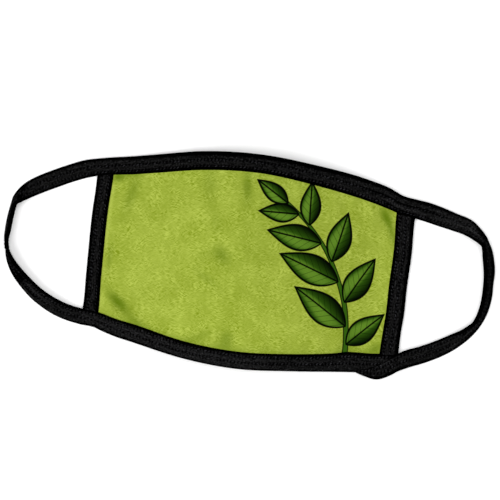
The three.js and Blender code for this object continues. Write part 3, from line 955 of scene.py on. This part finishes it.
# Painted shade in creases and patches, and painted highlight streaks, of the loops, with the columns of those
# of the top and bottom tapes
LOOP_MARKS = {
    "left": (
        (43.5, 1.0, 49.5, 6.0, 0.6, 1.0, 0.8, 0.25),
        (50.4, 6.8, 50.4, 10.2, 1.5, 1.3, 1.5, 0.25),
        (86.0, 5.2, 97.0, 5.2, 2.5, 3.0, 0.35, 0.0),
        (102.0, 1.0, 102.0, 9.5, 2.8, 2.8, 1.6, 0.0),
        (106.0, 7.3, 128.0, 4.8, 0.9, 1.5, -0.42, 0.0),
        (109.0, 3.8, 117.0, 3.4, 0.6, 0.6, 0.8, 0.1),
        (110.0, 2.0, 118.0, 1.8, 0.6, 0.6, -0.42, 0.0),
    ),
    "right": (
        (0.0, 4.9, 17.0, 5.6, 0.6, 0.5, 0.6, 0.15),
        (0.0, 7.0, 6.0, 8.4, 1.2, 1.2, -0.4, 0.0),
        (14.0, 6.2, 36.0, 5.5, 4.0, 3.5, -0.4, 0.0),
        (36.0, 5.0, 43.5, 7.0, 2.0, 1.4, -0.5, 0.0),
        (97.0, 8.5, 118.0, 3.0, 0.9, 1.1, -0.55, 0.0),
        (101.5, 9.0, 107.5, 8.0, 1.0, 1.3, 1.0, 0.1),
        (152.0, 8.4, 164.0, 7.5, 0.5, 0.5, -0.95, 0.0),
    ),
}

# From the top corner round to the bottom corner: the middle line's place, how far the inner edge is turned up
# in degrees, the tape's width and half thickness, the height of what it lies on, and how far the painted
# shade of the fold and of the inner edge reaches in
LOOP_ROWS = {
    "left": np.array([
        (-96.4, 45.4, 0, 10.6, 1.9, 0, 2.8, 2.4),
        (-104.0, 43.3, 4, 10.7, 1.45, 0, 3.0, 1.8),
        (-110.7, 40.5, 9, 10.7, 1.2, 0, 3.0, 1.6),
        (-120.7, 35.7, 13, 10.9, 1.2, 0, 3.0, 1.6),
        (-130.6, 30.4, 20, 10.9, 1.2, 0, 3.2, 1.4),
        (-136.6, 26.4, 33, 10.7, 1.2, 0, 3.8, 1.2),
        (-141.3, 21.9, 54, 10.5, 1.2, 0, 4.5, 1.4),
        (-142.6, 20.3, 64, 10.5, 1.2, 0, 4.2, 1.7),
        (-143.6, 18.3, 77, 10.5, 1.2, 0, 4.0, 2.0),
        (-144.1, 16.0, 78, 10.5, 1.2, 0, 3.0, 2.4),
        (-145.0, 9.5, 77, 10.5, 1.2, 0, 2.4, 2.4),
        (-145.5, 2.0, 78, 10.5, 1.2, 0, 2.4, 2.4),
        (-145.8, -3.1, 83, 10.5, 1.2, 0, 2.4, 2.6),
        (-145.0, -8.2, 90, 10.5, 1.2, 0, 3.0, 3.0),
        (-143.6, -12.6, 80, 10.5, 1.2, 0, 4.0, 3.4),
        (-141.3, -17.2, 69, 10.5, 1.2, 0, 5.0, 3.8),
        (-138.3, -21.4, 58, 10.5, 1.2, 0, 5.0, 3.6),
        (-131.9, -28.0, 47, 10.5, 1.2, 0, 2.6, 1.8),
        (-122.7, -35.3, 39, 10.5, 1.2, 0, 2.0, 1.5),
        (-112.0, -40.8, 31, 10.5, 1.2, 0, 1.8, 1.8),
        (-103.4, -43.5, 16, 9.7, 1.5, 0, 1.8, 2.0),
        (-95.4, -44.8, 0, 9.6, 1.9, 0, 1.8, 2.4),
    ]),
    "right": np.array([
        (96.2, 43.3, 0, 11.4, 1.9, 0, 3.2, 2.2),
        (103.0, 42.3, 0, 11.6, 1.5, 0, 3.6, 2.2),
        (109.4, 40.9, 0, 11.5, 1.2, 0, 3.4, 1.8),
        (119.4, 38.5, 12, 10.8, 1.2, 0, 3.0, 1.4),
        (128.5, 36.0, 26, 10.8, 1.2, 0, 3.6, 1.2),
        (133.8, 32.8, 43, 10.5, 1.2, 0, 5.5, 1.0),
        (138.0, 29.4, 59, 10.5, 1.2, 0, 7.0, 1.4),
        (139.7, 27.3, 66, 10.5, 1.2, 0, 7.0, 3.0),
        (141.0, 24.6, 61, 10.5, 1.2, 0, 7.0, 4.5),
        (142.8, 18.0, 54, 10.5, 1.2, 0, 7.0, 5.2),
        (144.1, 11.5, 54, 10.5, 1.2, 0, 7.0, 5.2),
        (144.4, 4.0, 60, 10.5, 1.2, 0, 7.0, 5.2),
        (144.5, -3.5, 59, 10.5, 1.2, 0, 6.5, 5.0),
        (143.4, -12.0, 62, 10.5, 1.2, 0, 6.0, 4.6),
        (141.4, -18.4, 66, 10.5, 1.2, 0, 6.0, 4.0),
        (139.7, -21.8, 66, 10.5, 1.2, 0, 6.0, 3.4),
        (137.5, -24.5, 60, 10.5, 1.2, 0, 5.8, 2.8),
        (133.3, -28.7, 50, 10.5, 1.2, 0, 4.8, 1.8),
        (127.8, -32.9, 34, 10.5, 1.2, 0, 3.8, 1.2),
        (119.5, -38.2, 22, 10.7, 1.2, 0.3, 3.2, 1.2),
        (109.4, -43.3, 14, 10.6, 1.2, 1.9, 3.0, 1.2),
        (100.5, -47.0, 6, 10.4, 1.2, 4.1, 3.0, 2.0),
        (94.3, -50.9, 0, 9.0, 1.2, 4.1, 3.0, 1.1),
        (89.5, -54.5, 0, 8.4, 1.2, 4.1, 2.8, 0.4),
        (83.8, -57.1, 0, 8.0, 1.1, 4.2, 2.6, 0.6),
        (77.6, -57.8, 0, 4.5, 0.9, 4.5, 1.6, 1.0),
        (72.0, -57.5, 0, 1.9, 0.6, 5.0, 1.0, 0.8),
    ]),
}
UP = np.array([0.0, 0.0, 1.0])

for side, inside in (("left", 1), ("right", -1)):
    rows = LOOP_ROWS[side]
    row_along = path_length(rows[:, :2])
    columns = [curve_through(row_along, rows[:, column]) for column in range(rows.shape[1])]
    fine = np.linspace(0, row_along[-1], LOOP_SAMPLES)
    fine_along = path_length(np.stack([columns[0](fine), columns[1](fine)], axis=1))
    count = int(fine_along[-1] / TAPE_STEP)
    along = np.linspace(0, fine_along[-1], count)
    place = np.interp(along, fine_along, fine)
    x, y, tilt, width, half, bed, fold_shade, lip_shade = (column(place) for column in columns)
    tilt = np.radians(np.maximum(tilt, 0))[:, None]
    bed = np.maximum(bed, 0)
    forward = np.stack([np.gradient(x), np.gradient(y), 0 * x], axis=1)
    forward /= np.linalg.norm(forward, axis=1, keepdims=True)
    inward = inside * np.stack([-forward[:, 1], forward[:, 0], 0 * x], axis=1)
    near_start = 1 - ease(along, LOOP_LEVEL)[:, None]
    inward = near_start * np.array([0.0, -1.0, 0.0]) + (1 - near_start) * inward
    # The left loop's end meets the bottom tape square on, and the right one's is lapped over it aslant
    if side == "left":
        near_end = 1 - ease(along[-1] - along, LOOP_LEVEL)[:, None]
        inward = near_end * np.array([0.0, 1.0, 0.0]) + (1 - near_end) * inward
    inward /= np.linalg.norm(inward, axis=1, keepdims=True)
    breadth = np.cos(tilt) * inward + np.sin(tilt) * UP
    face = np.cos(tilt) * UP - np.sin(tilt) * inward
    height = bed + half + np.sin(tilt[:, 0]) * (width / 2 - half)
    middle = np.stack([x, y, height], axis=1)
    name = f"{side}_loop"
    inset, lift, wrap = tape_section(name, along, width, half, LOOP_LIP)
    dark = painted_tape_shade(name, along, inset, fold_shade, lip_shade)
    dark, lift = with_marks(LOOP_MARKS[side], along, inset, dark, lift)
    reach = (inset - width[:, None] / 2)[..., None] * breadth[:, None]
    front = middle[:, None] + reach + lift[..., None] * face[:, None]
    back = middle[:, None] + reach - lift[..., None] * face[:, None]
    groove = middle + (width / 2 - LOOP_GROOVE)[:, None] * breadth
    tape = tape_piece(f"{name}_tape", front, back, groove[:, None], along, wrap, dark)
    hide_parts(f"ear_loop_{side}")
    tape_leaves[name] = (front, back, along)

# Stitches
# Two rows of slanted black polyester stitches go through every tape, front and back. Each stitch dips into
# its needle hole at both ends, and painted highlights on the thread make it look a little lighter than the
# tape.

STITCH_LENGTH = 1.35 * MM
THREAD_DIAMETER = 0.46 * MM
STITCH_ARCH = 0.16 * MM
STITCH_STEPS = 6
THREAD_SIDES = 6
STITCH_SLANT = math.radians(26)
STITCH_UNEVEN = math.radians(7)
THREAD_BLACK = shade(10, 10, 10)
THREAD_HIGHLIGHT = shade(62, 62, 66)
THREAD_RELIEF = 0.06 * MM


def black_thread():
    """Black thread, greyer where a painted highlight lies on it."""
    material, tree, shader = new_material("black_thread", roughness=0.7, specular=0.0, sheen=0.0)
    place = tree.nodes.new("ShaderNodeTexCoord").outputs["Object"]
    fibres = noise(tree, place, scale=1400.0)
    light = calc(tree, "MULTIPLY", noted(tree, "painted_highlight", "Fac"), calc(tree, "ADD", fibres, 0.5))
    feed(tree, shader.inputs["Base Color"], mix_colour(tree, light, THREAD_BLACK, THREAD_HIGHLIGHT))
    raise_surface(tree, shader, fibres, THREAD_RELIEF)
    return material


def join_nodes(tree, kind, values, output=0, **settings):
    """Add a geometry node with its settings and inputs, and give one of its outputs."""
    node = tree.nodes.new(kind)
    for name, value in settings.items():
        setattr(node, name, value)
    for label, value in values.items():
        feed(tree, node.inputs[label], value)
    return node.outputs[output]


def chance(tree, low, high, seed):
    """A random number for each stitch."""
    node = tree.nodes.new("FunctionNodeRandomValue")
    node.data_type = "FLOAT"
    floats = [socket for socket in node.inputs if socket.enabled]
    feed(tree, floats[0], low)
    feed(tree, floats[1], high)
    feed(tree, node.inputs["Seed"], seed)
    return [socket for socket in node.outputs if socket.enabled][0]


def topstitch_tree():
    """A stitch of thread on every point, turned by the point's own directions, slanted and uneven."""
    tree = bpy.data.node_groups.new("topstitch", "GeometryNodeTree")
    sockets = (
        ("Geometry", "NodeSocketGeometry"),
        ("Stitch Length", FLOAT_SOCKET), ("Thread Diameter", FLOAT_SOCKET), ("Arch", FLOAT_SOCKET),
        ("Slant", FLOAT_SOCKET), ("Unevenness", FLOAT_SOCKET), ("Highlight", FLOAT_SOCKET),
        ("Seed", "NodeSocketInt"), ("Thread", "NodeSocketMaterial"),
    )
    for label, kind in sockets:
        tree.interface.new_socket(label, in_out="INPUT", socket_type=kind)
    tree.interface.new_socket("Geometry", in_out="OUTPUT", socket_type="NodeSocketGeometry")
    start = tree.nodes.new("NodeGroupInput").outputs
    end = tree.nodes.new("NodeGroupOutput")
    half_length = calc(tree, "MULTIPLY", start["Stitch Length"], 0.5)
    low = calc(tree, "MULTIPLY", start["Arch"], -1.0)
    high = calc(tree, "MULTIPLY", start["Arch"], 2.0)
    line = join_nodes(tree, "GeometryNodeCurveQuadraticBezier", {
        "Resolution": STITCH_STEPS,
        "Start": joined(tree, calc(tree, "MULTIPLY", half_length, -1.0), 0.0, low),
        "Middle": joined(tree, 0.0, 0.0, high),
        "End": joined(tree, half_length, 0.0, low),
    })
    ring = join_nodes(tree, "GeometryNodeCurvePrimitiveCircle", {
        "Resolution": THREAD_SIDES,
        "Radius": calc(tree, "MULTIPLY", start["Thread Diameter"], 0.5),
    })
    stitch = join_nodes(tree, "GeometryNodeCurveToMesh", {
        "Curve": line, "Profile Curve": ring, "Fill Caps": True,
    })
    outward, along = (
        join_nodes(tree, "GeometryNodeInputNamedAttribute", {"Name": name}, data_type="FLOAT_VECTOR")
        for name in ("outward", "along")
    )
    upright = join_nodes(
        tree, "FunctionNodeAxesToRotation", {"Primary Axis": outward, "Secondary Axis": along},
        primary_axis="Z", secondary_axis="X",
    )
    swing = chance(tree, -1.0, 1.0, start["Seed"])
    turn = calc(tree, "MULTIPLY_ADD", swing, start["Unevenness"], start["Slant"])
    lean = join_nodes(tree, "FunctionNodeEulerToRotation", {"Euler": joined(tree, 0.0, 0.0, turn)})
    rotation = join_nodes(
        tree, "FunctionNodeRotateRotation", {"Rotation": upright, "Rotate By": lean}, rotation_space="LOCAL"
    )
    sewn = join_nodes(tree, "GeometryNodeInstanceOnPoints", {
        "Points": start["Geometry"], "Instance": stitch, "Rotation": rotation,
    })
    # A painted highlight for each stitch, strong on only a few
    highlight_seed = calc(tree, "ADD", start["Seed"], 1.0)
    uneven = calc(tree, "POWER", chance(tree, 0.1, 1.0, highlight_seed), 2.0)
    painted_highlight = calc(tree, "MULTIPLY", uneven, start["Highlight"])
    marked = join_nodes(
        tree, "GeometryNodeStoreNamedAttribute", {"Geometry": sewn, "Name": "painted_highlight", "Value": painted_highlight},
        data_type="FLOAT", domain="INSTANCE",
    )
    solid = join_nodes(tree, "GeometryNodeRealizeInstances", {"Geometry": marked})
    smooth = join_nodes(tree, "GeometryNodeSetShadeSmooth", {"Geometry": solid})
    dressed = join_nodes(tree, "GeometryNodeSetMaterial", {"Geometry": smooth, "Material": start["Thread"]})
    feed(tree, end.inputs["Geometry"], dressed)
    return tree


def stitch_row(leaf, other_leaf, along, row):
    """Places, directions and outward directions of one row of stitches on a leaf of tape."""
    column = int(np.argmin(np.abs(1 - SECTION_SPREAD - row)))
    line = leaf[:, column]
    across = leaf[:, column + 2] - leaf[:, column - 2]
    forward = np.gradient(line, axis=0)
    outward = np.cross(forward, across)
    outward *= np.sign(np.sum(outward * (line - other_leaf[:, column]), axis=1, keepdims=True))
    middles = np.arange(STITCH_PITCH / 2, along[-1], STITCH_PITCH)
    found = []
    for values in (line, forward, outward):
        found.append(np.stack([np.interp(middles, along, values[:, axis]) for axis in range(3)], axis=1))
    return found


stitching = topstitch_tree()
thread_finish = black_thread()
stitch_inputs = {
    item.name: item.identifier for item in stitching.interface.items_tree if item.in_out == "INPUT"
}
STITCH_VALUES = {
    "Stitch Length": STITCH_LENGTH, "Thread Diameter": THREAD_DIAMETER, "Arch": STITCH_ARCH,
    "Slant": STITCH_SLANT, "Unevenness": STITCH_UNEVEN, "Seed": 11, "Thread": thread_finish,
}
# How strong the painted highlights on each tape's stitches are
STITCH_HIGHLIGHT = {
    "left_side": 0.5, "right_side": 0.7, "top": 0.5, "bottom": 0.5, "left_loop": 0.4, "right_loop": 0.4,
}

for name, (front, back, along) in tape_leaves.items():
    found = [stitch_row(front, back, along, row) for row in STITCH_ROWS[name]]
    found += [stitch_row(back, front, along, row) for row in STITCH_ROWS[name]]
    places, forwards, outwards = (np.concatenate(parts) for parts in zip(*found))
    points = bpy.data.meshes.new(f"{name}_stitch_points")
    points.from_pydata((places * MM).tolist(), [], [])
    stitches = bpy.data.objects.new(f"{name}_stitches", points)
    bpy.context.scene.collection.objects.link(stitches)
    note_points(stitches, "along", forwards)
    note_points(stitches, "outward", outwards)
    sewing = stitches.modifiers.new("sewing", "NODES")
    sewing.node_group = stitching
    for label, value in {**STITCH_VALUES, "Highlight": STITCH_HIGHLIGHT[name]}.items():
        sewing[stitch_inputs[label]] = value
    evaluated = stitches.evaluated_get(bpy.context.evaluated_depsgraph_get())
    sewn_mesh = bpy.data.meshes.new_from_object(evaluated)
    stitches.modifiers.remove(sewing)
    stitches.data = sewn_mesh
    bpy.data.meshes.remove(points)
    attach(stitches, "root")

# Table and studio
# A plain pale table under wide soft lights, with the camera straight above the mask and turned a little,
# so that the mask lies aslant in the picture.

TABLE_SIZE = 3.0
TABLE_GAP = 0.0004
CAMERA_TURN = math.radians(6.9)
CAMERA_OVER = (0.00004, 0.00700)
CAMERA_HEIGHT = 3.003
VIEW_LEVEL = 0.003
VIEW_WIDTH = 0.3
SENSOR_WIDTH = 36.0
SKY_STRENGTH = 0.42
TABLE_DARK = shade(250, 250, 250)
TABLE_LIGHT = shade(253, 253, 253)


def pale_table():
    """A smooth, nearly white table top."""
    material, tree, shader = new_material("pale_table", roughness=0.8, specular=0.2, sheen=0.0)
    place = tree.nodes.new("ShaderNodeTexCoord").outputs["Object"]
    grain = noise(tree, place, scale=40.0, detail=3.0)
    feed(tree, shader.inputs["Base Color"], mix_colour(tree, grain, TABLE_DARK, TABLE_LIGHT))
    return material


table_mesh = bpy.data.meshes.new("table")
corners = [(x * TABLE_SIZE, y * TABLE_SIZE, -TABLE_GAP) for x, y in ((-1, -1), (1, -1), (1, 1), (-1, 1))]
table_mesh.from_pydata(corners, [], [(0, 1, 2, 3)])
table_mesh.materials.append(pale_table())
table = bpy.data.objects.new("table", table_mesh)
bpy.context.scene.collection.objects.link(table)


def soft_light(name, place, size, power):
    """A square soft box that faces the mask."""
    light = bpy.data.lights.new(name, "AREA")
    light.size = size
    light.energy = power
    box = bpy.data.objects.new(name, light)
    box.location = place
    box.rotation_euler = (-Vector(place)).to_track_quat("-Z", "Y").to_euler()
    bpy.context.scene.collection.objects.link(box)


soft_light("key_light", place=(-0.9, -0.8, 1.7), size=1.2, power=26)
soft_light("top_light", place=(0.2, 0.2, 2.2), size=1.4, power=32)
world = bpy.data.worlds.new("studio")
world.use_nodes = True
sky = world.node_tree.nodes["Background"]
sky.inputs["Color"].default_value = (1, 1, 1, 1)
sky.inputs["Strength"].default_value = SKY_STRENGTH
bpy.context.scene.world = world
bpy.context.scene.view_settings.view_transform = "Standard"

camera_data = bpy.data.cameras.new("camera")
camera_data.sensor_width = SENSOR_WIDTH
camera_data.lens = SENSOR_WIDTH * (CAMERA_HEIGHT - VIEW_LEVEL) / VIEW_WIDTH
camera = bpy.data.objects.new("camera", camera_data)
camera.location = (*CAMERA_OVER, CAMERA_HEIGHT)
camera.rotation_euler = (0, 0, CAMERA_TURN)
bpy.context.scene.collection.objects.link(camera)
bpy.context.scene.camera = camera
